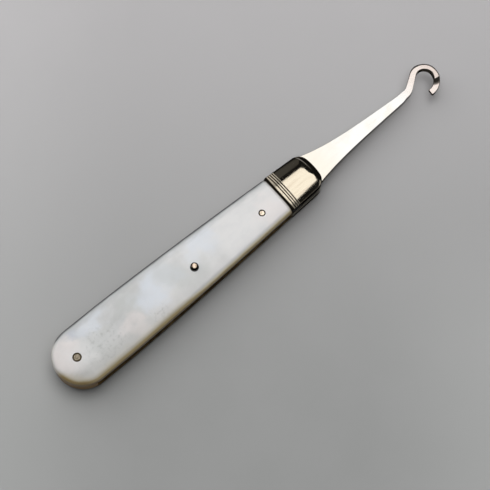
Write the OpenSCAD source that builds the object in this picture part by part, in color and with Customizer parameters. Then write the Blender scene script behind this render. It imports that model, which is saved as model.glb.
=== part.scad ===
// Folding button hook: a steel hook on a pivot between two bolstered, pearl-covered liners.
// X runs along the handle towards the hook, +Y is the spring's side, Z is up.
// The pivot's axis is at x = y = 0 and the handle lies on z = 0. Sizes in millimetres.

/* [Handle] */
// Length of the handle, from the butt to the bolster's front
handle_length = 68.2; // [62:0.1:76]
// Distance from the pivot to the bolster's front
pivot_setback = 4.2; // [4:0.1:5.2]
// Width of the handle at its widest
belly_width = 12.7; // [11.5:0.1:14]
// Distance from the butt to where the sides start to taper
belly_setback = 13; // [9:0.5:18]
// Width that the sides taper to at the bolster's front
front_width = 8.2; // [8:0.1:9.5]
// Bend of the taper, where 1 is straight
taper_bend = 1.45; // [1:0.05:1.6]

/* [Layers] */
// Thickness of each pearl scale and of each bolster
scale_thickness = 2; // [1.6:0.1:2.6]
// Thickness of each liner
liner_thickness = 0.45; // [0.3:0.05:0.8]
// Thickness of the spring, which holds the liners apart
spring_thickness = 1.5; // [1.2:0.1:2.2]
// Rise of a scale's gentle crown, above its rounded edge
pearl_rise = 0.55; // [0.2:0.05:0.7]
// How far the crown of a scale or bolster reaches in from the edge
crown_reach = 3.6; // [3:0.1:3.8]
// Rounding of a scale's outer edge
pearl_round = 1.1; // [0.6:0.1:1.4]

/* [Bolsters] */
// Length of each bolster along the handle
bolster_length = 9.9; // [9:0.1:12]
// Rise of a bolster's crown, above its rounded edge
bolster_rise = 0.85; // [0.4:0.05:1.1]
// Rounding of a bolster's outer edge
bolster_round = 0.15; // [0.1:0.05:0.5]
// Radius of the two front corners
corner_radius = 2.5; // [1.8:0.1:2.8]
// How far the front bows out between the corners
front_bow = 0.6; // [0.3:0.1:1]
// Number of lines cut across each bolster
line_count = 3; // [2:1:4]
// Distance from the joint to the first cut line
line_setback = 1; // [0.6:0.05:1.4]
// Spacing of the cut lines
line_pitch = 0.5; // [0.44:0.02:0.7]
// Width of a cut line
line_width = 0.18; // [0.12:0.01:0.26]
// Depth of a cut line
line_depth = 0.1; // [0.06:0.01:0.2]

/* [Hook] */
// Distance from the pivot to the end of the flat shank's taper
shank_length = 28.3; // [25.5:0.1:31]
// Height of the shank's root above the pivot, on the spring's side
root_back = 4.05; // [3.6:0.05:4.1]
// Depth of the shank's root below the pivot, on the slot's side
root_front = 3.3; // [2.9:0.05:3.5]
// Width of the shank at the end of its taper
neck_width = 1.9; // [1.7:0.05:2.1]
// How far the end of the taper lies towards the slot's side
neck_drop = 0.25; // [0.1:0.01:0.3]
// Length of the neck, from the taper to the bend
neck_run = 2; // [1:0.1:3]
// Width of the bar where the bend starts
bend_width = 1.62; // [1.4:0.02:1.7]
// How far the bar lies towards the slot's side where the bend starts
bend_drop = 0.08; // [0:0.01:0.2]
// Width of the bar that the curl is bent from
bar_width = 1.35; // [1.1:0.05:1.6]
// Radius of the bar's rounded corners
bar_round = 0.35; // [0.2:0.05:0.5]
// Radius of the bend at the neck
bend_radius = 3; // [2:0.1:4]
// Angle that the bar turns at the neck
bend_angle = 34; // [25:1:45]
// Length of the straight run between the bend and the curl
throat_run = 3.3; // [2.5:0.1:4]
// Radius of the curl at its top
curl_radius = 2.5; // [2:0.05:3]
// Radius of the curl's opened lip
lip_radius = 3.3; // [3.1:0.1:4.2]
// Angle that the lip turns through
lip_angle = 95; // [75:1:100]

/* [Mechanism] */
// Radius of the round tang
tang_radius = 2.8; // [2.5:0.05:2.9]
// Gap between the tang and the spring
spring_gap = 0.15; // [0.1:0.01:0.25]
// Gap between the hook's flat faces and each liner
side_play = 0.05; // [0.03:0.01:0.1]
// Gap between the spring's nose and the hook's shoulder
nose_gap = 0.15; // [0.1:0.01:0.3]
// Distance from the pivot to the hook's shoulder
shoulder_setback = 3.35; // [3.1:0.05:3.6]
// Wall of the spring round the centre pin
lug_wall = 0.42; // [0.35:0.01:0.5]
// Radius of the spring's tail round the end pin
tail_radius = 3.4; // [3:0.1:4]

/* [Pins] */
// Diameter of the pivot pin
pivot_d = 1.8; // [1.5:0.1:2.2]
// Gap all round between the pivot pin and the tang
pivot_play = 0.03; // [0.02:0.01:0.06]
// Diameter of the centre pin
centre_d = 1.3; // [1.1:0.05:1.4]
// Diameter of the centre pin's proud head
centre_head_d = 1.6; // [1.5:0.05:2.2]
// Height of the centre pin's proud head
centre_head_h = 0.65; // [0.4:0.05:0.9]
// Rounding of the head's rim
centre_head_round = 0.25; // [0.1:0.05:0.35]
// Distance from the pivot to the centre pin along the handle
centre_setback = 28.95; // [28:0.05:30]
// Distance of the centre pin from the handle's middle line
centre_drop = 0.79; // [0.5:0.01:0.85]
// Diameter of the end pin
end_d = 1.9; // [1.6:0.1:2.4]
// Distance from the butt to the end pin
end_setback = 5.1; // [4.5:0.1:6]
// Diameter of each short scale pin
scale_pin_d = 1.5; // [1.2:0.1:1.7]
// Distance from the bolster's joint to the scale pin
scale_pin_setback = 5.3; // [4:0.1:7]
// Distance of the scale pin from the handle's middle line
scale_pin_drop = 1.03; // [0.5:0.01:1.2]

/* [Hidden] */
$fn = 64;

// Places along the handle
x_front = pivot_setback;
x_butt = x_front - handle_length;
x_belly = x_butt + belly_setback;
x_joint = x_front - bolster_length;
butt_radius = belly_width / 2;

// Heights of the layers
liner_z = scale_thickness;
gap_z = liner_z + liner_thickness;
front_liner_z = gap_z + spring_thickness;
front_scale_z = front_liner_z + liner_thickness;
top_z = front_scale_z + scale_thickness;
mid_z = top_z / 2;
hook_thickness = spring_thickness - 2 * side_play;

// Pins
centre_at = [-centre_setback, -centre_drop];
end_at = [x_butt + end_setback, 0];
scale_pin_at = [x_joint - scale_pin_setback, -scale_pin_drop];
through = 1;

// Half the handle's width at a place along it
function half_width(x) =
    x <= x_belly ? butt_radius
    : butt_radius - (belly_width - front_width) / 2
        * pow((x - x_belly) / (x_front - x_belly), taper_bend);

// Front of the bolster: a shallow bow between two rounded corners, each [x, y, radius] at an inset
bow_radius = (pow(front_width / 2, 2) + pow(front_bow, 2)) / (2 * front_bow);
bow_x = x_front - bow_radius;
least_corner = 0.2;
function corner(inset) =
    let (
        radius = max(corner_radius - inset, least_corner),
        y = half_width(x_front - inset - radius) - inset - radius
    )
    [bow_x + sqrt(pow(bow_radius - inset - radius, 2) - pow(y, 2)), y, radius];

// Stretches of the handle's outline, drawn in by an inset
side_step = 4.5;
arc_steps = 6;
function side(from, to, inset) =
    let (steps = ceil((to - from) / side_step))
    [for (i = [0 : steps]) let (x = from + (to - from) * i / steps) [x, half_width(x) - inset]];
function arc(x, y, radius, from, to, steps) =
    [for (i = [0 : steps])
        let (a = from + (to - from) * i / steps)
        [x + radius * cos(a), y + radius * sin(a)]];
function flipped(points) = [for (i = [len(points) - 1 : -1 : 0]) [points[i].x, -points[i].y]];
function without_last(points) = [for (i = [0 : len(points) - 2]) points[i]];

function butt_end(inset) =
    arc(x_butt + butt_radius, 0, butt_radius - inset, 90, 270, 4 * arc_steps);
function front_half(inset) =
    let (at = corner(inset), bow_angle = atan2(at.y, at.x - bow_x))
    concat(
        without_last(arc(bow_x, 0, bow_radius - inset, 0, bow_angle, arc_steps)),
        without_last(arc(at.x, at.y, at.z, bow_angle, 90, arc_steps))
    );
function front_end(inset) =
    let (half = front_half(inset))
    concat(flipped([for (i = [1 : len(half) - 1]) half[i]]), half);

// Outlines of the three kinds of plate
function scale_outline(inset) =
    let (edge = side(x_belly, x_joint, inset))
    concat([for (p = edge) [p.x, -p.y]], flipped([for (p = edge) [p.x, -p.y]]), butt_end(inset));
bolster_steps = 3;
function bolster_side(inset) =
    [for (i = [0 : bolster_steps])
        let (x = x_joint + (corner(inset).x - x_joint) * i / bolster_steps)
        [x, half_width(x) - inset]];
function bolster_outline(inset) =
    let (edge = bolster_side(inset))
    concat([for (p = edge) [p.x, -p.y]], front_end(inset), flipped([for (p = edge) [p.x, -p.y]]));
function handle_outline() =
    let (edge = side(x_belly, corner(0).x, 0))
    concat([for (p = edge) [p.x, -p.y]], front_end(0), flipped([for (p = edge) [p.x, -p.y]]), butt_end(0));

// A plate with a rounded edge and a gentle crown, as rings of [inset, height] from its foot up
round_steps = 5;
crown_steps = 3;
edge_wall = 0.2;
function crown_drop(rise, inset) = rise * pow(1 - inset / crown_reach, 2);
function crown_rings(rise, round, sink) =
    let (radius = min(round, scale_thickness - rise - edge_wall))
    concat(
        [[sink, 0]],
        [for (i = [0 : round_steps])
            let (a = 90 * i / round_steps, inset = radius * (1 - cos(a)))
            [sink + inset, scale_thickness - sink - crown_drop(rise, inset) - radius * (1 - sin(a))]],
        [for (i = [1 : crown_steps])
            let (inset = radius + (crown_reach - radius) * i / crown_steps)
            [sink + inset, scale_thickness - sink - crown_drop(rise, inset)]]
    );
module crowned(outlines, heights) {
    lofted([for (k = [0 : len(outlines) - 1]) [for (p = outlines[k]) [p.x, p.y, heights[k]]]]);
}

// A closed body through rings of points, each ring anticlockwise seen from the last one
module lofted(rings) {
    count = len(rings[0]);
    last = len(rings) - 1;
    walls = [
        for (k = [0 : last - 1]) for (i = [0 : count - 1])
            let (a = k * count + i, b = k * count + (i + 1) % count)
            each [[a, a + count, b], [b, a + count, b + count]]
    ];
    first_face = [for (i = [0 : count - 1]) i];
    last_face = [for (i = [count - 1 : -1 : 0]) last * count + i];
    polyhedron([for (ring = rings) each ring], concat(walls, [first_face, last_face]), convexity = 8);
}

// Copies a front piece to the underside of the handle
module underside() {
    translate([0, 0, top_z]) mirror([0, 0, 1]) children();
}

module hole(at, d) {
    translate([at.x, at.y, -through]) cylinder(d = d, h = top_z + 2 * through);
}

// Mother-of-pearl scale with a rounded edge
module scale_plate() {
    rings = crown_rings(pearl_rise, pearl_round, 0);
    difference() {
        translate([0, 0, front_scale_z])
            crowned([for (r = rings) scale_outline(r[0])], [for (r = rings) r[1]]);
        hole(centre_at, centre_d);
        hole(end_at, end_d);
        hole(scale_pin_at, scale_pin_d);
    }
}
module front_scale() { color("whitesmoke") scale_plate(); }
module rear_scale() { color("whitesmoke") underside() scale_plate(); }

// Nickel silver bolster with lines cut across it beside the pearl
module bolster_body(sink) {
    rings = crown_rings(bolster_rise, bolster_round, sink);
    translate([0, 0, front_scale_z])
        crowned([for (r = rings) bolster_outline(r[0])], [for (r = rings) r[1]]);
}
module cut_lines() {
    for (i = [0 : line_count - 1])
        translate([x_joint + line_setback + line_pitch * i - line_width / 2, -belly_width, front_scale_z])
            cube([line_width, 2 * belly_width, 2 * scale_thickness]);
}
module bolster() {
    difference() {
        union() {
            difference() {
                bolster_body(0);
                cut_lines();
            }
            bolster_body(line_depth);
        }
        hole([0, 0], pivot_d);
    }
}
module front_bolster() { color("silver") bolster(); }
module rear_bolster() { color("silver") underside() bolster(); }

// Brass liner under a scale and its bolster
module liner() {
    difference() {
        translate([0, 0, front_liner_z]) linear_extrude(liner_thickness) polygon(handle_outline());
        hole([0, 0], pivot_d);
        hole(centre_at, centre_d);
        hole(end_at, end_d);
        hole(scale_pin_at, scale_pin_d);
    }
}
module front_liner() { color("goldenrod") liner(); }
module rear_liner() { color("goldenrod") underside() liner(); }

// Steel spring along the closed edge, with a lug at the centre pin and a tail in the butt
spring_y = tang_radius + spring_gap;
nose_x = shoulder_setback - nose_gap;
lug_radius = centre_d / 2 + lug_wall;
lug_spread = 2.4 * lug_radius;
module spring_blank() {
    translate([x_butt, spring_y]) square([nose_x - x_butt, belly_width]);
    translate(centre_at) circle(lug_radius);
    polygon([
        [centre_at.x - lug_radius, centre_at.y], [centre_at.x + lug_radius, centre_at.y],
        [centre_at.x + lug_spread, spring_y + through], [centre_at.x - lug_spread, spring_y + through]
    ]);
    translate(end_at) circle(tail_radius);
    translate([x_butt - belly_width, -belly_width])
        square([end_at.x - x_butt + belly_width, 2 * belly_width]);
    polygon([
        end_at, end_at + [tail_radius, 0],
        [end_at.x + 3 * tail_radius, spring_y + through], [end_at.x, spring_y + through]
    ]);
}
module back_spring() {
    color("lightsteelblue") difference() {
        translate([0, 0, gap_z]) linear_extrude(spring_thickness) intersection() {
            polygon(handle_outline());
            spring_blank();
        }
        hole(centre_at, centre_d);
        hole(end_at, end_d);
    }
}

// Hook: round tang, flat tapering shank and neck, and a rounded bar bent into the curl
shank_steps = 16;
bend_x = shank_length + neck_run;
function flare(x) =
    let (t = (shank_length - x) / (shank_length - shoulder_setback))
    (t + pow(t, 4)) / 2;
function shank_edge(root) =
    [for (i = [0 : shank_steps])
        let (x = shoulder_setback + (shank_length - shoulder_setback) * i / shank_steps)
        [x, neck_width / 2 + (root - neck_width / 2) * flare(x)]];
module shank_outline() {
    back = [for (p = shank_edge(root_back + neck_drop)) [p.x, p.y - neck_drop]];
    front = [for (p = shank_edge(root_front - neck_drop)) [p.x, -p.y - neck_drop]];
    polygon(concat(
        [[0, -tang_radius]], front,
        [[bend_x, -bend_drop - bend_width / 2], [bend_x, -bend_drop + bend_width / 2]],
        [for (i = [shank_steps : -1 : 0]) back[i]],
        [[shoulder_setback, tang_radius], [0, tang_radius]]
    ));
    circle(tang_radius);
}
// The bar's course as stations of [x, y, heading, width], from inside the neck to the tip of the lip
bend_steps = 6;
curl_steps = 14;
lip_steps = 10;
bend_at = [bend_x, bend_radius - bend_drop];
run_to = bend_at + bend_radius * [sin(bend_angle), -cos(bend_angle)]
    + throat_run * [cos(bend_angle), sin(bend_angle)];
curl_at = run_to + curl_radius * [sin(bend_angle), -cos(bend_angle)];
lip_at = curl_at - [lip_radius - curl_radius, 0];
bend_length = bend_radius * bend_angle * PI / 180;
throat_width = bend_width + (bar_width - bend_width) * bend_length / (bend_length + throat_run);
function turn(center, radius, from, to, width, end_width, steps) =
    [for (i = [0 : steps])
        let (heading = from + (to - from) * i / steps)
        [
            center.x - radius * sin(heading), center.y + radius * cos(heading), heading,
            width + (end_width - width) * i / steps
        ]];
bar_course = concat(
    [[bend_x - bend_width / 2, -bend_drop, 0, bend_width]],
    turn(bend_at, -bend_radius, 0, bend_angle, bend_width, throat_width, bend_steps),
    turn(curl_at, curl_radius, bend_angle, -90, bar_width, bar_width, curl_steps),
    [for (i = [1 : lip_steps])
        turn(lip_at, lip_radius, -90, -90 - lip_angle, bar_width, bar_width, lip_steps)[i]]
);
// The bar's section is a rectangle with three points round each corner
function bar_corners(width) = [
    for (quarter = [0 : 3]) for (i = [0 : 2])
        let (
            u = (quarter == 0 || quarter == 3 ? 1 : -1) * (width / 2 - bar_round),
            v = (quarter < 2 ? 1 : -1) * (hook_thickness / 2 - bar_round),
            a = 90 * quarter + 45 * i
        )
        [u + bar_round * cos(a), v + bar_round * sin(a)]
];
module bent_bar() {
    lofted([
        for (s = bar_course)
            [for (c = bar_corners(s[3])) [s.x - c.x * sin(s[2]), s.y + c.x * cos(s[2]), mid_z + c.y]]
    ]);
}
module hook() {
    color("gainsboro") {
        difference() {
            translate([0, 0, gap_z + side_play]) linear_extrude(hook_thickness) shank_outline();
            hole([0, 0], pivot_d + 2 * pivot_play);
        }
        bent_bar();
    }
}

// Pins: the pivot, the two rivets through the spring, and a short pin for each scale
module pin(at, d, from, to) {
    translate([at.x, at.y, from]) cylinder(d = d, h = to - from);
}
module pivot_pin() { color("silver") pin([0, 0], pivot_d, 0, top_z); }
module centre_head() {
    wall = centre_head_d / 2 - centre_head_round;
    rotate_extrude() polygon(concat(
        [[0, 0], [centre_head_d / 2, 0]],
        arc(wall, centre_head_h - centre_head_round, centre_head_round, 0, 90, arc_steps),
        [[0, centre_head_h]]
    ));
}
module centre_pin() {
    color("silver") {
        pin(centre_at, centre_d, 0, top_z);
        translate([centre_at.x, centre_at.y, top_z]) centre_head();
    }
}
module end_pin() { color("tan") pin(end_at, end_d, 0, top_z); }
module front_scale_pin() { color("wheat") pin(scale_pin_at, scale_pin_d, front_liner_z, top_z); }
module rear_scale_pin() { color("wheat") pin(scale_pin_at, scale_pin_d, 0, gap_z); }

front_scale();
rear_scale();
front_liner();
rear_liner();
front_bolster();
rear_bolster();
back_spring();
hook();
pivot_pin();
centre_pin();
end_pin();
front_scale_pin();
rear_scale_pin();
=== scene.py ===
import math

import bmesh
import bpy
from mathutils import Matrix, Vector


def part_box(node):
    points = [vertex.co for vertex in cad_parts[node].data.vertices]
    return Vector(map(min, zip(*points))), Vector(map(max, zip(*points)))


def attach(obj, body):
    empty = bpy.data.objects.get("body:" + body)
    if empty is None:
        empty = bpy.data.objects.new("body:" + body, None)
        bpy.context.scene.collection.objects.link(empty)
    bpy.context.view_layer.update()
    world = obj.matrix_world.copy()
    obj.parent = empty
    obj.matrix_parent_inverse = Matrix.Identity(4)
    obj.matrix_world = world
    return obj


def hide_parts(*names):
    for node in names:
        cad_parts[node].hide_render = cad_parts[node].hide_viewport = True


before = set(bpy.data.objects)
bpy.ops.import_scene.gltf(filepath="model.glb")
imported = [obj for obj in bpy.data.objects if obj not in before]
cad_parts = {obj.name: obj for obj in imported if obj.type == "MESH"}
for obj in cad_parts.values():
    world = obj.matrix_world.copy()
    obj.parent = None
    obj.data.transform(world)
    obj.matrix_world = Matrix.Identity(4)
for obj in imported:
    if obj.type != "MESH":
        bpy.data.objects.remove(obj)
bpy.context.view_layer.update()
scene = bpy.context.scene
scene.view_settings.view_transform = "Standard"


# Camera. A long lens looks down on the opened hook, tilted a little off straight down, and
# the handle runs across the picture from the lower left to the upper right.
picture_pixels = 490
lens_pixels = 1434
camera_tilt = math.radians(17.5)
camera_distance = 0.300
handle_slant = math.radians(40.62)
aim = Vector((-0.01685, -0.00247, 0.0))
upright = Vector((0.0, 0.0, 1.0))
picture_up = Vector((math.sin(handle_slant), math.cos(handle_slant), 0.0))
picture_right = picture_up.cross(upright)


def facing(place, target, up):
    """Stands a camera or lamp at a place, turned to face a target."""
    back = (place - target).normalized()
    right = up.cross(back).normalized()
    matrix = Matrix((right, back.cross(right), back)).transposed().to_4x4()
    matrix.translation = place
    return matrix


lens = bpy.data.cameras.new("camera")
lens.lens = lens.sensor_width * lens_pixels / picture_pixels
lens.clip_start = 0.01
camera = bpy.data.objects.new("camera", lens)
eye = aim + camera_distance * (math.cos(camera_tilt) * upright - math.sin(camera_tilt) * picture_up)
camera.matrix_world = facing(eye, aim, picture_up)
scene.collection.objects.link(camera)
scene.camera = camera


# Lamps. A bright card overhead is what the polished faces mirror. A wide soft lamp beyond the
# picture's upper left throws the shadow to the lower right, and one overhead fills that shadow.
# Dim cards low on the other sides only show in the metal, when it is seen from elsewhere.
def lamp(name, across, up, height, wide, tall, brightness, mirrored, lights=True):
    """A flat lamp that faces the hook, placed across and up the picture and above the table."""
    light = bpy.data.lights.new(name, "AREA")
    light.shape = "RECTANGLE"
    light.size = wide
    light.size_y = tall
    light.energy = brightness * math.pi * wide * tall
    lamp_object = bpy.data.objects.new(name, light)
    place = aim + across * picture_right + up * picture_up + height * upright
    lamp_object.matrix_world = facing(place, aim, picture_up)
    lamp_object.visible_glossy = mirrored
    lamp_object.visible_diffuse = lights
    lamp_object.visible_camera = False
    scene.collection.objects.link(lamp_object)


lamp("overhead_card", 0.105, 0.115, 0.50, wide=0.27, tall=0.38, brightness=1.4, mirrored=True)
lamp("soft_key", -0.25, 0.41, 0.50, wide=1.20, tall=1.00, brightness=1.6, mirrored=False)
lamp("high_fill", 0.08, 0.00, 0.60, wide=0.60, tall=0.60, brightness=1.4, mirrored=False)
lamp("dim_wall", -0.165, 0.375, 0.35, wide=0.20, tall=0.17, brightness=0.060, mirrored=True)
lamp("near_card", 0.00, -0.55, 0.34, wide=0.90, tall=0.40, brightness=0.55, mirrored=True, lights=False)
lamp("left_card", -0.58, -0.02, 0.42, wide=0.60, tall=0.50, brightness=0.45, mirrored=True, lights=False)
lamp("right_card", 0.60, -0.15, 0.25, wide=0.60, tall=0.48, brightness=0.45, mirrored=True, lights=False)
lamp("far_card", -0.42, 0.45, 0.23, wide=0.27, tall=0.34, brightness=0.45, mirrored=True, lights=False)
world = bpy.data.worlds.new("dim_room")
world.use_nodes = True
world.node_tree.nodes["Background"].inputs["Color"].default_value = (0.008, 0.008, 0.008, 1.0)
scene.world = world


# Table. A pale grey board with a faint mottle and painted light, which the hook lies on.
# It is only the ground under the object, and no part of it.
MM = 0.001  # one millimetre in the frame's metres


class Value:
    """One output of a material's nodes, so that shader maths reads as plain Python."""

    def __init__(self, finish, socket):
        self.finish = finish
        self.socket = socket

    def beside(self, output):
        return Value(self.finish, self.socket.node.outputs[output])

    def __add__(self, other):
        return self.finish.math("ADD", self, other)

    def __radd__(self, other):
        return self.finish.math("ADD", other, self)

    def __sub__(self, other):
        return self.finish.math("SUBTRACT", self, other)

    def __rsub__(self, other):
        return self.finish.math("SUBTRACT", other, self)

    def __mul__(self, other):
        return self.finish.math("MULTIPLY", self, other)

    def __rmul__(self, other):
        return self.finish.math("MULTIPLY", other, self)

    def __abs__(self):
        return self.finish.math("ABSOLUTE", self)


class Finish:
    """A material, written over places on the object in millimetres."""

    def __init__(self, name):
        self.material = bpy.data.materials.new(name)
        self.material.use_nodes = True
        self.tree = self.material.node_tree
        spot = self.node("ShaderNodeTexCoord", {}, {}, "Object")
        sockets = {"Vector": spot, "Scale": 1 / MM}
        self.place = self.node("ShaderNodeVectorMath", {"operation": "SCALE"}, sockets)
        self.x = self.node("ShaderNodeSeparateXYZ", {}, {"Vector": self.place}, "X")
        self.y = self.x.beside("Y")
        self.z = self.x.beside("Z")

    def node(self, kind, settings, sockets, output=0):
        node = self.tree.nodes.new(kind)
        for name, setting in settings.items():
            setattr(node, name, setting)
        for name, value in sockets.items():
            self.plug(node.inputs[name], value)
        return Value(self, node.outputs[output])

    def plug(self, socket, value):
        if isinstance(value, Value):
            self.tree.links.new(value.socket, socket)
        else:
            socket.default_value = value

    def math(self, operation, *values):
        return self.node("ShaderNodeMath", {"operation": operation}, dict(enumerate(values)))

    def step(self, value, low, high):
        sockets = {"Value": value, "From Min": low, "From Max": high}
        return self.node("ShaderNodeMapRange", {"interpolation_type": "SMOOTHSTEP"}, sockets, "Result")

    def blend(self, share, first, second):
        # A colour mix has its share at socket 0, its colours at 6 and 7 and its result at output 2
        return self.node("ShaderNodeMix", {"data_type": "RGBA"}, {0: share, 6: first, 7: second}, 2)

    def noise(self, size, detail=2.0, shift=(0, 0, 0), stretch=(1, 1, 1)):
        sockets = {"Vector": self.place, "Location": shift, "Scale": stretch}
        spot = self.node("ShaderNodeMapping", {}, sockets, "Vector")
        sockets = {"Vector": spot, "Scale": 1 / size, "Detail": detail}
        return self.node("ShaderNodeTexNoise", {}, sockets, "Fac")

    def vectors(self, operation, first, second, output="Value"):
        sockets = {0: first, 1: second}
        return self.node("ShaderNodeVectorMath", {"operation": operation}, sockets, output)

    def along(self, direction):
        return self.vectors("DOT_PRODUCT", self.place, direction)

    def distance(self, at):
        return self.vectors("DISTANCE", self.place, at)

    def upward(self):
        normal = self.node("ShaderNodeNewGeometry", {}, {}, "Normal")
        return abs(self.node("ShaderNodeSeparateXYZ", {}, {"Vector": normal}, "Z"))

    def bump(self, height, depth):
        return self.node("ShaderNodeBump", {}, {"Distance": depth * MM, "Height": height}, "Normal")

    def surface(self, sockets):
        shader = self.tree.nodes["Principled BSDF"]
        for name, value in sockets.items():
            self.plug(shader.inputs[name], value)
        return self.material


def tone(red, green, blue):
    """A colour as seen on a screen, from 0 to 255, for the shader's linear sockets."""
    seen = [part / 255 for part in (red, green, blue)]
    linear = [part / 12.92 if part <= 0.04045 else ((part + 0.055) / 1.055) ** 2.4 for part in seen]
    return (*linear, 1.0)


board = Finish("grey_board")
board_mottle = board.noise(14, detail=4.0)
# Painted light: the board is painted lighter towards the top of the picture, on its left and at its lower
# right
board_away = board.along(picture_up)
board_painted_far_light = board.step(board_away, -60, 60)
board_tone = board.blend(board_painted_far_light, tone(152, 153, 152), tone(181, 179, 180))
board_painted_light_tone = board.blend(board_painted_far_light, tone(168, 169, 168), tone(190, 188, 189))
board_right = board.along(picture_right) - aim.dot(picture_right) / MM
board_painted_light_left = board.step(board_right, -20, -60)
board_painted_light_near_corner = board.step(board_right, 20, 60) * board.step(board_away, 0, -40)
board_tone = board.blend(board_painted_light_left + board_painted_light_near_corner, board_tone, board_painted_light_tone)
board_tone = board.blend(0.12 * board.step(board_mottle, 0.3, 0.7), board_tone, tone(171, 170, 171))
board.surface({
    "Base Color": board_tone,
    "Roughness": 0.75 + 0.1 * board_mottle,
    "Specular IOR Level": 0.25,
})

board_reach = 3.0
board_mesh = bpy.data.meshes.new("table")
board_corners = [(x * board_reach, y * board_reach, 0) for x, y in ((-1, -1), (1, -1), (1, 1), (-1, 1))]
board_mesh.from_pydata(board_corners, [], [(0, 1, 2, 3)])
board_mesh.materials.append(board.material)
table = bpy.data.objects.new("table", board_mesh)
scene.collection.objects.link(table)


# Liners. Two thin brass plates carry everything else: the scales and bolsters are fixed to
# their outer faces, and the spring holds them apart. Only their tarnished edges show.
def corners(node):
    low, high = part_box(node)
    return Vector(low) / MM, Vector(high) / MM


scale_low, scale_high = corners("front_scale")
x_butt = scale_low.x
x_joint = scale_high.x
middle_z = scale_high.z / 2

glancing_shade_tint = tone(90, 88, 84)  # painted shade: a dark tint on what the metal mirrors at a glancing angle, so steep edges read dark
brass = Finish("tarnished_brass")
brass_stain = brass.noise(2.2, detail=5.0)
brass_dull = brass.noise(0.6, detail=3.0, shift=(7, 2, 0))
brass_tone = brass.blend(brass.step(brass_stain, 0.35, 0.65), tone(126, 106, 72), tone(76, 60, 38))
# Painted light and shade beside the bolsters: the rear liner's edge is painted pale as a painted
# highlight, the front liner's edge dark as painted shade
brass_upper = brass.step(brass.z, middle_z - 0.1, middle_z + 0.1)
brass_painted_light_and_shade = brass.blend(brass_upper, tone(150, 145, 135), tone(50, 45, 38))
brass_tone = brass.blend(brass.step(brass.x, x_joint - 0.5, x_joint + 0.5), brass_tone, brass_painted_light_and_shade)
brass_butt = brass.step(brass.x, x_butt + 7, x_butt + 3)
brass_tone = brass.blend(brass_butt, brass_tone, tone(158, 124, 66))
brass_grain = brass.noise(0.12, detail=2.0, stretch=(0.1, 1, 1))
brass.surface({
    "Base Color": brass_tone,
    "Metallic": 0.85 - 0.5 * brass_butt,
    "Roughness": 0.3 + 0.3 * brass_dull,
    "Specular Tint": glancing_shade_tint,
    "Normal": brass.bump(brass_grain, 0.01),
})
for node in ("front_liner", "rear_liner"):
    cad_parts[node].material_slots[0].material = brass.material


# Back spring. A bar of spring steel between the liners along the closed edge, filed flush
# with them and riveted at the centre and butt, that bears on the hook's tang.
spring_steel = Finish("filed_spring_steel")
spring_file = spring_steel.noise(0.09, detail=2.0, stretch=(1, 1, 0.08))
spring_stain = spring_steel.noise(1.6, detail=5.0)
spring_stained = spring_steel.step(spring_stain, 0.4, 0.66)
spring_tone = spring_steel.blend(spring_stained, tone(140, 136, 130), tone(106, 99, 90))
spring_butt = spring_steel.step(spring_steel.x, x_butt + 9, x_butt + 4)
spring_tone = spring_steel.blend(spring_butt, spring_tone, tone(146, 110, 52))
spring_steel.surface({
    "Base Color": spring_tone,
    "Metallic": 0.9 - 0.5 * spring_butt,
    "Roughness": 0.36 + 0.2 * spring_stain,
    "Normal": spring_steel.bump(spring_file, 0.01),
})
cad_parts["back_spring"].material_slots[0].material = spring_steel.material


# Hook. One forging of polished steel: a round tang that turns on the pivot, a flat shank that
# tapers from a wide root, and a bar bent at the neck and curled round into the hook.
hook_low, hook_high = corners("hook")
tang_radius = -hook_low.x
shoulder = 3.35
shank_end = 28.3
root_back = 4.05
root_front = 3.3
neck_width = 1.9
neck_drop = 0.25
neck_run = 2.0
bend_width = 1.62
bend_drop = 0.08
bar_width = 1.35
bend_radius = 3.0
bend_turn = math.radians(34)
throat_run = 3.3
curl_radius = 2.5
lip_radius = 3.3
lip_turn = math.radians(95)
filed_tip = 0.6
tang_edge = 0.06
shank_edge = 0.03
shoulder_step = 0.03
neck_edge = 0.04
throat_edge = 0.1
tip_edge = 0.12
curl_fullness = 0.14
widest_edge = 0.9
edge_hold = 0.2
quarter = math.radians(90)


def spread(start, end, steps):
    """Evenly spaced values from start to end, both included."""
    return [start + (end - start) * i / steps for i in range(steps + 1)]


def shank_half(x, root):
    """Half the shank's width at x, which flares towards a half width at the root."""
    share = (shank_end - x) / (shank_end - shoulder)
    return neck_width / 2 + (root - neck_width / 2) * (share + share ** 4) / 2


def along_arc(centre, radius, start, end, steps):
    """Stations on an arc as x, y and heading; a radius below zero bends to the left."""
    return [
        (centre.x - radius * math.sin(turn), centre.y + radius * math.cos(turn), turn)
        for turn in spread(start, end, steps)
    ]


# Stations of x, y, heading, left and right half width, left and right edge rounding, share of
# the lip turned through, and how far the top and foot are trimmed
stations = []
for turn in spread(math.radians(4), quarter, 14):
    half = tang_radius * math.sin(turn)
    stations.append((-tang_radius * math.cos(turn), 0, 0, half, half, tang_edge, tang_edge, 0, 0))
stations.append((shoulder - shoulder_step, 0, 0, tang_radius, root_front, tang_edge, tang_edge, 0, 0))
for x in spread(shoulder, shank_end, 26):
    left = shank_half(x, root_back + neck_drop) - neck_drop
    right = shank_half(x, root_front - neck_drop) + neck_drop
    stations.append((x, 0, 0, left, right, shank_edge, shank_edge, 0, 0))
for share in spread(0, 1, 8)[1:]:
    eased = share * share * (3 - 2 * share)
    half = (neck_width + (bend_width - neck_width) * eased) / 2
    drop = neck_drop + (bend_drop - neck_drop) * eased
    x = shank_end + neck_run * share
    stations.append((x, 0, 0, half - drop, half + drop, neck_edge, neck_edge, 0, 0))

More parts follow.
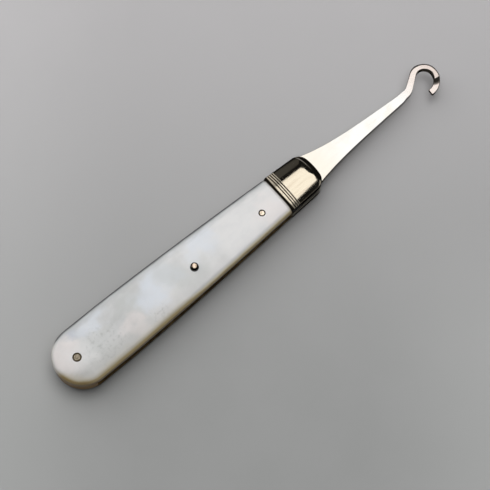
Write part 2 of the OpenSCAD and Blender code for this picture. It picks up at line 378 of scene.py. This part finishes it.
bend_centre = Vector((shank_end + neck_run, bend_radius - bend_drop))
away = Vector((math.cos(bend_turn), math.sin(bend_turn)))
square = Vector((math.sin(bend_turn), -math.cos(bend_turn)))
curl_centre = bend_centre + (bend_radius + curl_radius) * square + throat_run * away
lip_centre = curl_centre - Vector((lip_radius - curl_radius, 0))
bend_length = bend_radius * bend_turn
throat_width = bend_width + (bar_width - bend_width) * bend_length / (bend_length + throat_run)
half_bar = bar_width / 2
for x, y, turn in along_arc(bend_centre, -bend_radius, 0, bend_turn, 10)[1:]:
    share = turn / bend_turn
    half = (bend_width + (throat_width - bend_width) * share) / 2
    edge = neck_edge * (1 + share)
    stations.append((x, y, turn, half, half, edge, edge, 0, 0))
for x, y, turn in along_arc(curl_centre, curl_radius, bend_turn, -quarter, 36):
    worn = min(1, 3 * (bend_turn - turn) / (bend_turn + quarter))
    rounder = min(1, max(0, (-turn - math.radians(50)) / math.radians(40)))
    inner_edge = throat_edge + 0.1 * worn + 0.16 * rounder
    fuller = max(0, 1 - abs(turn - math.radians(8)) / math.radians(42))
    outer_edge = throat_edge + 0.22 * worn + 0.13 * fuller
    outer_half = half_bar + curl_fullness * fuller
    stations.append((x, y, turn, outer_half, half_bar, outer_edge, inner_edge, 0, 0))
for x, y, turn in along_arc(lip_centre, lip_radius, -quarter, -quarter - lip_turn, 44)[1:]:
    turned = -(turn + quarter) / lip_turn
    sharper = min(1, 1.6 * turned)
    outer_edge = tip_edge + 0.2 * (1 - sharper)
    inner_edge = tip_edge + 0.24 * (1 - sharper)
    stations.append((x, y, turn, half_bar, half_bar, outer_edge, inner_edge, turned, 0))
tip_x, tip_y, tip_turn = stations[-1][:3]
for ahead, narrowing in ((0.05, 0.04), (0.08, 0.12)):
    x = tip_x + ahead * math.cos(tip_turn)
    y = tip_y + ahead * math.sin(tip_turn)
    half = half_bar - narrowing
    stations.append((x, y, tip_turn, half, half, tip_edge, tip_edge, 1, narrowing))


def filed_down(turned, share):
    """How far the lip's top is filed down, at a share of the way across it from the outer edge."""
    start = 0.31 + 0.078 * share
    run = 0.28 + 0.14 * share
    left_to_go = 1 - min(1, max(0, (turned - start) / run))
    return filed_tip * (1 - left_to_go ** 2)


def bar_section(x, y, turn, left, right, left_edge, right_edge, turned, trim):
    """A ring of points round the bar at one station: a rectangle with rounded edges."""
    left_edge = min(left_edge, widest_edge * left)
    right_edge = min(right_edge, widest_edge * right)
    top = hook_high.z - trim
    foot = hook_low.z + trim
    middles = (
        (left - left_edge, top - filed_down(turned, 0) - left_edge, left_edge),
        (right_edge - right, top - filed_down(turned, 1) - right_edge, right_edge),
        (right_edge - right, foot + right_edge, right_edge),
        (left - left_edge, foot + left_edge, left_edge),
    )
    section = []
    for corner, (across, height, edge) in enumerate(middles):
        angles = spread(corner * quarter, (corner + 1) * quarter, 4)
        arc = [(math.cos(angle), math.sin(angle)) for angle in angles]
        out, rise = arc[0]
        before = (out + edge_hold * rise, rise - edge_hold * out)
        out, rise = arc[-1]
        after = (out - edge_hold * rise, rise + edge_hold * out)
        section += [(across + edge * out, height + edge * rise) for out, rise in [before, *arc, after]]
        if corner == 0:
            for share in spread(0.16, 0.84, 6):
                offset = left - left_edge + (left_edge + right_edge - left - right) * share
                section.append((offset, top - filed_down(turned, share)))
    left_x = -math.sin(turn)
    left_y = math.cos(turn)
    return [(x + offset * left_x, y + offset * left_y, height) for offset, height in section]


def make_piece(name, points, faces, material, smooth_below=30):
    """A mesh piece from points in millimetres, smooth over edges that turn less than an angle."""
    mesh = bpy.data.meshes.new(name)
    mesh.from_pydata([Vector(point) * MM for point in points], [], faces)
    weld_gap = 0.001 * MM
    work = bmesh.new()
    work.from_mesh(mesh)
    bmesh.ops.remove_doubles(work, verts=work.verts, dist=weld_gap)
    bmesh.ops.dissolve_degenerate(work, edges=work.edges, dist=weld_gap)
    bmesh.ops.recalc_face_normals(work, faces=work.faces)
    work.to_mesh(mesh)
    work.free()
    mesh.shade_smooth()
    mesh.set_sharp_from_angle(angle=math.radians(smooth_below))
    mesh.materials.append(material)
    piece = bpy.data.objects.new(name, mesh)
    scene.collection.objects.link(piece)
    return piece


def joined_rings(rings):
    """Points and faces of a closed body through rings of points."""
    count = len(rings[0])
    faces = [tuple(range(count)), tuple(range((len(rings) - 1) * count, len(rings) * count))]
    for k in range(len(rings) - 1):
        for i in range(count):
            a, b = k * count + i, k * count + (i + 1) % count
            faces.append((a, b, b + count, a + count))
    return [point for ring in rings for point in ring], faces


def drill(piece, holes):
    """Bores round holes, each x, y and radius in millimetres, right through a piece."""
    sides = 64
    length = 40
    half_side = Matrix.Rotation(math.pi / sides, 4, "Z")
    work = bmesh.new()
    for x, y, radius in holes:
        bmesh.ops.create_cone(
            work, cap_ends=True, segments=sides, depth=length * MM,
            radius1=radius * MM, radius2=radius * MM,
            matrix=Matrix.Translation(Vector((x, y, 0)) * MM) @ half_side,
        )
    cutter_mesh = bpy.data.meshes.new("cutter")
    work.to_mesh(cutter_mesh)
    work.free()
    cutter = bpy.data.objects.new("cutter", cutter_mesh)
    scene.collection.objects.link(cutter)
    bore = piece.modifiers.new("bore", "BOOLEAN")
    bore.object = cutter
    bore.solver = "EXACT"
    drilled = piece.evaluated_get(bpy.context.evaluated_depsgraph_get())
    mesh = bpy.data.meshes.new_from_object(drilled)
    piece.modifiers.clear()
    piece.data = mesh
    bpy.data.objects.remove(cutter)


def axis_of(node):
    """The middle and the radius of an upright pin."""
    low, high = corners(node)
    return (low + high) / 2, (high.x - low.x) / 2


hook_steel = Finish("polished_hook_steel")
hook_polish = hook_steel.noise(0.5, detail=3.0, stretch=(0.15, 1, 1))
hook_wear = hook_steel.noise(3.0, detail=5.0)
hook_worn = hook_steel.step(hook_wear, 0.45, 0.75)
hook_past_neck = hook_steel.step(hook_steel.x, 28, 35)
hook_outer_curl = hook_steel.step(hook_steel.x, 36.2, 38.2)
hook_root = hook_steel.step(hook_steel.x, 14, 5)
hook_ends = hook_steel.step(hook_steel.x, 31, 34) + hook_steel.step(hook_steel.x, 6, 4)
hook_upward = hook_steel.upward()
# Painted shade: the steep sides of the curl and by the root are painted dark grey, in place of the dark
# they mirror
hook_painted_dark_side = hook_steel.step(hook_upward, 0.99, 0.9) * hook_ends
hook_blunt = hook_steel.step(hook_upward, 0.998, 0.95) * hook_ends
hook_tone = hook_steel.blend(hook_worn, tone(228, 226, 222), tone(224, 220, 212))
hook_tone = hook_steel.blend(hook_past_neck, hook_tone, tone(217, 206, 199))
hook_tone = hook_steel.blend(hook_outer_curl, hook_tone, tone(206, 193, 185))
hook_tone = hook_steel.blend(hook_root, hook_tone, tone(226, 219, 207))
hook_tone = hook_steel.blend(hook_painted_dark_side, hook_tone, tone(84, 80, 74))
hook_steel.surface({
    "Base Color": hook_tone,
    "Metallic": 1.0,
    "Roughness": 0.1 + 0.12 * hook_polish + 0.32 * hook_blunt,
    "Specular Tint": glancing_shade_tint,
    "Normal": hook_steel.bump(hook_polish, 0.002),
})

hook_points, hook_faces = joined_rings([bar_section(*station) for station in stations])
hook = make_piece("hook_forged", hook_points, hook_faces, hook_steel.material)
pivot_at, pivot_radius = axis_of("pivot_pin")
pivot_play = 0.03
drill(hook, [(pivot_at.x, pivot_at.y, pivot_radius + pivot_play)])
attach(hook, "hook")
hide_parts("hook")


# Bolsters. A nickel silver cap on the hook end of each liner, crowned and polished, with a row
# of fine lines cut across it beside the pearl. They hold the ends of the pivot pin.
x_front = corners("front_bolster")[1].x
foot_z = scale_low.z
top_z = scale_high.z
butt_radius = scale_high.y
belly_setback = 13.0
front_half_width = 4.1
taper_bend = 1.45
corner_radius = 2.5
front_bow = 0.6
bolster_rise = 0.85
bolster_reach = 4.0
bolster_round = 0.14
front_bevel = 0.7
bevel_inset = 1.1
front_share = 0.77
least_corner = 0.8
filed_from = 2.5
filed_run = 4.5
filed_share = 0.06
joint_groove = 0.42
joint_depth = 0.12
grime_bow = 0.012
crease_inset = 1.08
crease_bow = 0.041
line_count = 3
line_setback = 1.02
line_pitch = 0.51
line_width = 0.18
line_depth = 0.1
bow_radius = (front_half_width ** 2 + front_bow ** 2) / (2 * front_bow)
bow_x = x_front - bow_radius


def half_width(x):
    taper = max(0, x - x_butt - belly_setback) / (x_front - x_butt - belly_setback)
    return butt_radius - (butt_radius - front_half_width) * taper ** taper_bend


def crown_profile(rise, reach, rounding):
    """Rings of inset and height above the liner, from the foot up over the edge to the crown."""
    thickness = top_z - foot_z

    def drop(inset):
        return rise * (1 - inset / reach) ** 2

    rings = [(0, 0)]
    for angle in spread(0, quarter, 10):
        inset = rounding * (1 - math.cos(angle))
        rings.append((inset, thickness - drop(inset) - rounding * (1 - math.sin(angle))))
    for inset in spread(rounding, reach, 10)[1:]:
        rings.append((inset, thickness - drop(inset)))
    return rings


def plate(name, half_outline, rise, reach, rounding, under, material):
    """A crowned plate in two halves. The outline of each half, at an inset, runs from the plate's
    round end to the joint as points of x, distance from the middle line and depth below the crown."""
    rings = []
    for inset, height in crown_profile(rise, reach, rounding):
        ring = []
        for sign, side in ((1, half_outline(inset, 1)[:0:-1]), (-1, half_outline(inset, -1))):
            for x, y, sunk in side:
                level = foot_z + (height - sunk if height else 0)
                ring.append((x, sign * (y - (sunk if y else 0)), top_z - level if under else level))
        rings.append(ring)
    count = len(rings[0])
    crown = len(rings) - 1
    points = [point for ring in rings for point in ring]
    joint_face = [k * count for k in range(crown + 1)]
    joint_face += [k * count + count - 1 for k in range(crown, -1, -1)]
    faces = [tuple(joint_face)]
    for k in range(crown):
        for i in range(count - 1):
            a = k * count + i
            faces.append((a, a + 1, a + count + 1, a + count))
    for k in (0, crown):
        for i in range(count // 2):
            a, b = k * count + i, k * count + count - 1 - i
            faces.append((a, a + 1, b - 1, b) if b - a > 2 else (a, a + 1, b))
    return make_piece(name, points, faces, material)


def line_sink(x):
    """How deep the cut lines and the eased joint edge go at a place along the bolster."""
    from_joint = x - x_joint
    sunk = joint_depth * max(0, 1 - from_joint / joint_groove)
    for i in range(line_count):
        across = abs(from_joint - line_setback - line_pitch * i) / (line_width / 2)
        sunk = max(sunk, line_depth * max(0, 1 - across ** 2))
    return sunk


lined_length = line_setback + line_pitch * (line_count - 0.4)


def bolster_half(inset, sign):
    """Half of a bolster's outline. Its front bevel is a little narrower on the slot's side."""
    drawn = front_bevel * min(1, inset / bevel_inset) + front_share * max(0, inset - bevel_inset)
    rounding = max(corner_radius - 2 * inset, least_corner * min(1, front_half_width - inset))

    def front_reach(y):
        filed = min(1, max(0, (filed_from - sign * y) / filed_run))
        return bow_radius - drawn * (1 - filed_share * filed * filed * (3 - 2 * filed))

    y = half_width(x_front - drawn - rounding) - inset - rounding
    x = bow_x + math.sqrt((front_reach(y) - rounding) ** 2 - y ** 2)
    bow_turn = math.atan2(y, x - bow_x)
    half = []
    for place in spread(0, y + rounding * math.sin(bow_turn), 14)[:-1]:
        half.append((bow_x + math.sqrt(front_reach(place) ** 2 - place ** 2), place, 0))
    for turn in spread(bow_turn, quarter, 14)[:-1]:
        half.append((x + rounding * math.cos(turn), y + rounding * math.sin(turn), 0))
    lined_x = x_joint + lined_length
    for place in spread(x, lined_x, 10)[:-1] + spread(lined_x, x_joint, 120):
        half.append((place, half_width(place) - inset, line_sink(place)))
    return half


nickel = Finish("polished_nickel_silver")
nickel_streak = nickel.noise(0.9, detail=3.0, shift=(2, 5, 0), stretch=(0.12, 1, 0.3))
nickel_polish = nickel.noise(0.25, detail=2.0, stretch=(0.08, 1, 1))
nickel_streaked = nickel.step(nickel_streak, 0.42, 0.68)
nickel_tone = nickel.blend(nickel_streaked, tone(216, 205, 184), tone(208, 195, 174))
past_joint = nickel.x - x_joint
grime_edge = past_joint - grime_bow * nickel.y * nickel.y
nickel_grime = nickel.step(grime_edge, joint_groove + 0.1, joint_groove - 0.08)
nickel_lined = nickel.step(past_joint, lined_length, lined_length - 0.05)
from_line = nickel.math("PINGPONG", past_joint - line_setback, line_pitch / 2)
first_line = nickel.step(past_joint, line_setback - 0.32, line_setback - 0.24)
# Painted shade: the cut lines are painted near black
nickel_line_painted_shade = nickel.step(from_line, 0.155, 0.095) * nickel_lined * first_line
nickel_tone = nickel.blend(nickel_line_painted_shade, nickel_tone, tone(16, 13, 10))
nickel_tone = nickel.blend(nickel_grime, nickel_tone, tone(24, 20, 15))
# Painted highlight: a pale line along the crease at the top of the front bevel
crease_line = x_front - crease_inset - crease_bow * nickel.y * nickel.y
nickel_painted_crease_highlight = nickel.step(abs(nickel.x - crease_line), 0.14, 0.06) * nickel.step(nickel.y, -1.0, 3.5)
nickel_tone = nickel.blend(nickel_painted_crease_highlight, nickel_tone, tone(150, 145, 138))
# Painted shade: faces that slope steeply, the bevel and the walls, are painted near black
nickel_tone = nickel.blend(nickel.step(nickel.upward(), 0.9, 0.74), nickel_tone, tone(22, 19, 16))
nickel_ridge = (0.25 + 0.3 * nickel.step(nickel.y, 1.0, 3.0)) * nickel_lined
nickel_dull = 0.6 * nickel_grime + nickel_ridge * (1 - nickel_grime) + 0.5 * nickel_painted_crease_highlight
nickel.surface({
    "Base Color": nickel_tone,
    "Metallic": 1 - nickel_dull,
    "Roughness": 0.07 + 0.05 * nickel_polish + 0.06 * nickel_lined + 0.3 * nickel_grime,
    "Specular Tint": glancing_shade_tint,
    "Normal": nickel.bump(nickel_polish, 0.002),
})
for node, under in (("front_bolster", False), ("rear_bolster", True)):
    name = node + "_cap"
    bolster = plate(name, bolster_half, bolster_rise, bolster_reach, bolster_round, under, nickel.material)
    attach(bolster, "handle")
    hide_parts(node)


# Pivot pin. A nickel silver pin through both bolsters and the tang, peened over at each end
# and polished away into the bolsters, so that no ring shows on their faces.
def lathed(name, profile, at, material):
    """A turned piece round an upright axis, from points of radius and height on its outline."""
    segments = 56
    points = [(at.x, at.y, profile[0][1]), (at.x, at.y, profile[-1][1])]
    rings = []
    for radius, height in profile[1:-1]:
        rings.append(range(len(points), len(points) + segments))
        for i in range(segments):
            turn = 2 * math.pi * i / segments
            points.append((at.x + radius * math.cos(turn), at.y + radius * math.sin(turn), height))
    faces = []
    for i in range(segments):
        j = (i + 1) % segments
        faces.append((0, rings[0][i], rings[0][j]))
        faces.append((1, rings[-1][j], rings[-1][i]))
        for upper, lower in zip(rings, rings[1:]):
            faces.append((upper[i], lower[i], lower[j], upper[j]))
    return make_piece(name, points, faces, material)


peened_skin = 0.08
peened_edge = 0.15
pivot_profile = [
    (0, top_z - peened_skin),
    (pivot_radius - peened_edge, top_z - peened_skin),
    (pivot_radius, top_z - 2 * peened_skin),
    (pivot_radius, 2 * peened_skin),
    (pivot_radius - peened_edge, peened_skin),
    (0, peened_skin),
]
pivot = lathed("pivot_pin_peened", pivot_profile, pivot_at, nickel.material)
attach(pivot, "handle")
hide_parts("pivot_pin")


# Scales. A slip of mother-of-pearl on each liner, sawn from shell, crowned and polished like
# the bolster it butts against. Its edges cut down through the shell's darker outer layers,
# and carry painted shade and a painted dark reflection as well.
pearl_rise = 0.55
pearl_reach = 3.6
pearl_round = 1.1
joint_ease = 0.2
joint_run = 0.7


def scale_half(inset, _sign):
    """Half of a scale's outline, alike on both sides."""
    half = []
    for turn in spread(0, quarter, 30)[:-1]:
        reach = butt_radius - inset
        half.append((x_butt + butt_radius - reach * math.cos(turn), reach * math.sin(turn), 0))
    eased_from = x_joint - joint_run
    for place in spread(x_butt + butt_radius, eased_from, 48)[:-1] + spread(eased_from, x_joint, 10):
        eased = joint_ease * max(0, 1 - (x_joint - place) / joint_run) ** 2
        half.append((place, half_width(place) - inset, eased))
    return half


centre_at, head_radius = axis_of("centre_pin")
end_at, end_radius = axis_of("end_pin")
scale_pin_at, scale_pin_radius = axis_of("front_scale_pin")

pearl = Finish("mother_of_pearl")
along = pearl.step(pearl.x, x_butt, x_joint)
cloud = pearl.noise(7.0, detail=4.0)
wisp = pearl.noise(1.6, detail=4.0, shift=(3, 9, 0), stretch=(0.6, 1, 1))
# Darker towards the butt and lighter towards the bolster, with the shell's clouds over it
cloud_and_lengthwise_ramp = pearl.step(cloud + 0.45 * along, 0.4, 0.95)
pearl_tone = pearl.blend(cloud_and_lengthwise_ramp, tone(184, 185, 184), tone(217, 216, 215))
pearl_tone = pearl.blend(0.35 * pearl.step(wisp, 0.42, 0.68), pearl_tone, tone(206, 206, 207))

# Faint colours in the shell, with painted light and painted shade at the butt, each as a hue, a share and
# the places and reach of its clouds
warp = pearl.node("ShaderNodeTexNoise", {}, {"Vector": pearl.place, "Scale": 0.3, "Detail": 3.0}, "Color")
warp = pearl.vectors("SUBTRACT", warp, (0.5, 0.5, 0.5), "Vector")
wander = {0: warp, 1: (9, 9, 9), 2: pearl.place}
wandered = pearl.node("ShaderNodeVectorMath", {"operation": "MULTIPLY_ADD"}, wander)
tints = (
    (tone(212, 219, 229), 0.5, ((-36, 2.3, 6), (-40, 0.6, 5), (-25, 2.9, 6), (-53, 4.3, 5))),
    (tone(228, 219, 216), 0.5, ((-8.5, -2.4, 6), (-46, -3, 4))),
    # painted light on the butt's lit side
    (tone(238, 228, 225), 0.5, ((-62, 2.0, 7),)),
    (tone(196, 198, 196), 0.5, ((-44.5, 2.3, 4.5), (-54, -2, 6), (-31, -2.5, 6), (-34.5, 2.8, 5))),
    (tone(226, 225, 224), 0.5, ((-57.5, -0.5, 5),)),
    # painted shade along the butt's edge on the spring side
    (tone(182, 188, 200), 0.6, ((-57.3, 5.0, 3),)),
)
for hue, share, clouds in tints:
    for x, y, reach in clouds:
        gap = pearl.vectors("DISTANCE", wandered, (x, y, top_z))
        pearl_tone = pearl.blend(share * pearl.step(gap, reach, 0.2 * reach), pearl_tone, hue)

# Grey pits where the polish stopped at a rough layer of the shell
pits = pearl.step(pearl.noise(0.8, detail=4.0, shift=(0, 0, 4)), 0.48, 0.72)
for x, y, reach in ((-52.5, -2.0, 6.5), (-40.5, -4.2, 3.0)):
    near = pearl.step(pearl.distance((x, y, top_z)), reach, 0.3 * reach)
    pearl_tone = pearl.blend(0.5 * near * pits, pearl_tone, tone(158, 160, 158))

# The edge cuts down through browner layers, more so on the slot's side. The spring side's edge is painted
# dark grey as a painted reflection, and painted shade greys the slot side towards the butt and blackens
# the rear scale's edge
depth = middle_z - abs(pearl.z - middle_z)
layers = pearl.noise(0.5, detail=3.0, stretch=(0.15, 0.6, 1))
depth = depth + 0.25 * (layers - 0.5)
butt = pearl.math("MINIMUM", pearl.x - (x_butt + butt_radius), 0.0)
butt_end = pearl.step(butt, -1.0, -3.5)
from_middle = pearl.y + 0.35 * butt
slot_side = pearl.step(from_middle, -0.5, -3.5)
# Painted shade: the slot side's edge is painted greyer towards the butt
slot_painted_shade_to_butt = pearl.step(pearl.x, -29, -37)
slot_cream = pearl.blend(slot_painted_shade_to_butt, tone(222, 214, 190), tone(190, 184, 169))
slot_cream = pearl.blend(butt_end, slot_cream, tone(180, 172, 153))
slot_olive = pearl.blend(butt_end, tone(178, 160, 118), tone(150, 128, 80))
slot_brown = pearl.blend(butt_end, tone(122, 98, 58), tone(124, 97, 45))
butt_tip = pearl.step(butt, -2.0, -4.2)
# Painted reflection: dark grey on the spring side's edge, paler at the butt's tip
spring_edge_painted_grey = pearl.blend(butt_tip, tone(176, 178, 178), tone(210, 208, 205))
spring_edge_painted_dark = pearl.blend(butt_tip, tone(58, 59, 60), tone(196, 193, 187))
spring_edge_painted_darkest = pearl.blend(butt_tip, tone(40, 40, 40), tone(150, 144, 132))
cream = pearl.blend(slot_side, spring_edge_painted_grey, slot_cream)
olive = pearl.blend(slot_side, spring_edge_painted_dark, slot_olive)
brown = pearl.blend(slot_side, spring_edge_painted_darkest, slot_brown)
depth = depth + 0.3 * (1 - slot_side) * (1 - butt_end) + 0.3 * slot_side * butt_end
depth = depth + 0.26 * slot_side * (1 - butt_end) * slot_painted_shade_to_butt
shaded = pearl.step(from_middle, -1.0, -4.5) * pearl.step(pearl.x, x_joint - 10, x_butt + 12)
pearl_tone = pearl.blend(0.4 * shaded, pearl_tone, tone(166, 163, 158))
pearl_tone = pearl.blend(pearl.step(depth, 0.35, 0.7), pearl_tone, cream)
pearl_tone = pearl.blend(pearl.step(depth, 0.6, 1.0), pearl_tone, olive)
pearl_tone = pearl.blend(pearl.step(depth, 1.2, 1.7), pearl_tone, brown)
# Painted shade: the rear scale's edge is painted near black, browner at the butt
rear = pearl.step(pearl.z, middle_z + 0.1, middle_z - 0.1)
rear = rear * pearl.step(depth, 0.5, 0.9)
rear_edge_painted_shade = pearl.blend(butt_end, tone(34, 27, 18), tone(82, 60, 25))
pearl_tone = pearl.blend(0.9 * rear, pearl_tone, rear_edge_painted_shade)

# Painted shadow under the proud rivet's head, painted shade in a band along the joint, and grime in the
# joint itself
pin_shadow_at = (centre_at.x - 0.12, centre_at.y - 0.14, top_z)
painted_pin_shadow = pearl.step(pearl.distance(pin_shadow_at), 0.98, 0.84)
pearl_tone = pearl.blend(painted_pin_shadow, pearl_tone, tone(20, 17, 14))
to_joint = x_joint - pearl.x
# Painted shade along the joint
pearl_tone = pearl.blend(0.55 * pearl.step(to_joint, 0.8, 0.0), pearl_tone, tone(128, 124, 114))
pearl_grime = pearl.step(to_joint, 0.22, 0.03)
pearl_tone = pearl.blend(pearl_grime, pearl_tone, tone(52, 44, 32))
pearl.surface({
    "Base Color": pearl_tone,
    "Roughness": 0.28 + 0.14 * wisp,
    "Normal": pearl.bump(wisp, 0.02),
    "Coat Weight": 0.35,
    "Coat Roughness": 0.12,
})

shank_radius = 0.65
scale_holes = [
    (centre_at.x, centre_at.y, shank_radius),
    (end_at.x, end_at.y, end_radius),
    (scale_pin_at.x, scale_pin_at.y, scale_pin_radius),
]
for node, under in (("front_scale", False), ("rear_scale", True)):
    scale = plate(node + "_pearl", scale_half, pearl_rise, pearl_reach, pearl_round, under, pearl.material)
    drill(scale, scale_holes)
    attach(scale, "handle")
    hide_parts(node)


# Rivets and pins. Metal pins driven through the scales and hammered over: a proud, flat-topped
# one at the centre, a dull one at the butt, and a short bright one by each bolster.
pin_glancing_shade_tint = tone(40, 38, 36)  # painted shade: a near-black tint on what the pins mirror at a glancing angle


def pin_finish(name, at, radius, light, dark, grime, roughness, metallic):
    """Pin metal with a mottled face and a ring of grime where it meets the pearl."""
    finish = Finish(name)
    flat = finish.node("ShaderNodeCombineXYZ", {}, {"X": finish.x, "Y": finish.y, "Z": 0.0})
    out = finish.vectors("DISTANCE", flat, (at.x, at.y, 0))
    mottle = finish.noise(0.35, detail=4.0)
    ring = finish.step(out + 0.12 * (mottle - 0.5), 0.62 * radius, 0.7 * radius)
    face = finish.blend(finish.step(mottle, 0.35, 0.68), light, dark)
    finish.surface({
        "Base Color": finish.blend(ring, face, grime),
        "Metallic": metallic * (1 - 0.7 * ring),
        "Roughness": roughness + 0.2 * mottle + 0.3 * ring,
        "Specular IOR Level": 0.15,
        "Specular Tint": pin_glancing_shade_tint,
        "Normal": finish.bump(mottle, 0.02),
    })
    return finish.material


dome_height = 0.02
pin_play = 0.01


def flush_end(radius, level, sign, groove_depth):
    """The outline of a pin's flush end: a low dome, and a groove round it at the pearl."""
    dome = [(0, dome_height), (0.4 * radius, 0.018), (0.66 * radius, 0.01), (0.72 * radius, -0.04)]
    groove = [(0.76 * radius, -groove_depth), (0.9 * radius, -groove_depth)]
    rim = [(0.96 * radius, -0.04), (radius - pin_play, -0.03)]
    return [(out, level + sign * (height - dome_height)) for out, height in dome + groove + rim]


def pin_outline(radius, upper, lower, upper_flush, lower_flush):
    """The outline of a whole pin, with a flush end at the pearl and a plain one at a liner."""
    top = [(0, upper), (radius - pin_play, upper)]
    if upper_flush:
        top = flush_end(radius, upper, 1, groove_depth=0.1)
    foot = [(0, lower), (radius - pin_play, lower)]
    if lower_flush:
        foot = flush_end(radius, lower, -1, groove_depth=0.1)
    return top + foot[::-1]


scale_pin_metal = pin_finish(
    "bright_pin_brass", scale_pin_at, scale_pin_radius,
    light=tone(250, 234, 212), dark=tone(240, 220, 194), grime=tone(14, 10, 7),
    roughness=0.12, metallic=1.0,
)
for node, upper_flush in (("front_scale_pin", True), ("rear_scale_pin", False)):
    low, high = corners(node)
    profile = pin_outline(scale_pin_radius, high.z, low.z, upper_flush, not upper_flush)
    pin = lathed(node + "_head", profile, scale_pin_at, scale_pin_metal)
    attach(pin, "handle")
    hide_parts(node)

end_metal = pin_finish(
    "worn_butt_rivet", end_at, end_radius,
    light=tone(184, 173, 152), dark=tone(140, 128, 110), grime=tone(82, 73, 58),
    roughness=0.4, metallic=0.6,
)
end_pin = lathed("end_pin_rivet", pin_outline(end_radius, top_z, 0, True, True), end_at, end_metal)
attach(end_pin, "handle")
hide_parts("end_pin")

head_top = corners("centre_pin")[1].z
head_round = 0.34
head_sag = 0.01
head_undercut = 0.06
head_middle = 0.3
flat_radius = head_radius - head_round
centre_profile = [(0, head_top), (head_middle, head_top - head_sag / 2)]
for angle in spread(quarter, 0, 8):
    out = flat_radius + head_round * math.cos(angle)
    centre_profile.append((out, head_top - head_round * (1 - math.sin(angle)) - head_sag))
centre_profile += [
    (head_radius, top_z + 0.02),
    (head_radius - head_undercut, top_z - 0.01),
    (shank_radius - pin_play, top_z - 0.02),
]
centre_profile += flush_end(shank_radius, 0, -1, groove_depth=0.08)[::-1]
centre_metal = Finish("worn_centre_rivet")
centre_mottle = centre_metal.noise(0.4, detail=4.0)
centre_worn = centre_metal.step(centre_mottle, 0.4, 0.7)
centre_tone = centre_metal.blend(centre_worn, tone(228, 207, 186), tone(212, 189, 165))
# Painted shade: the head's rounded edge and side are painted near black
centre_painted_dark_side = centre_metal.step(centre_metal.z, head_top - 0.02, head_top - 0.09)
centre_metal.surface({
    "Base Color": centre_metal.blend(centre_painted_dark_side, centre_tone, tone(14, 11, 9)),
    "Metallic": 1.0,
    "Roughness": 0.12 + 0.15 * centre_mottle,
    "Specular Tint": pin_glancing_shade_tint,
    "Normal": centre_metal.bump(centre_mottle, 0.004),
})
centre_pin = lathed("centre_pin_rivet", centre_profile, centre_at, centre_metal.material)

# The hammer left the head leaning a little to the slot's side
head_lean = 0.05
for corner in centre_pin.data.vertices:
    across = (corner.co / MM - centre_at).dot(picture_right)
    if corner.co.z > top_z * MM:
        corner.co.z -= head_lean * max(0, across + flat_radius) * MM
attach(centre_pin, "handle")
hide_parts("centre_pin")
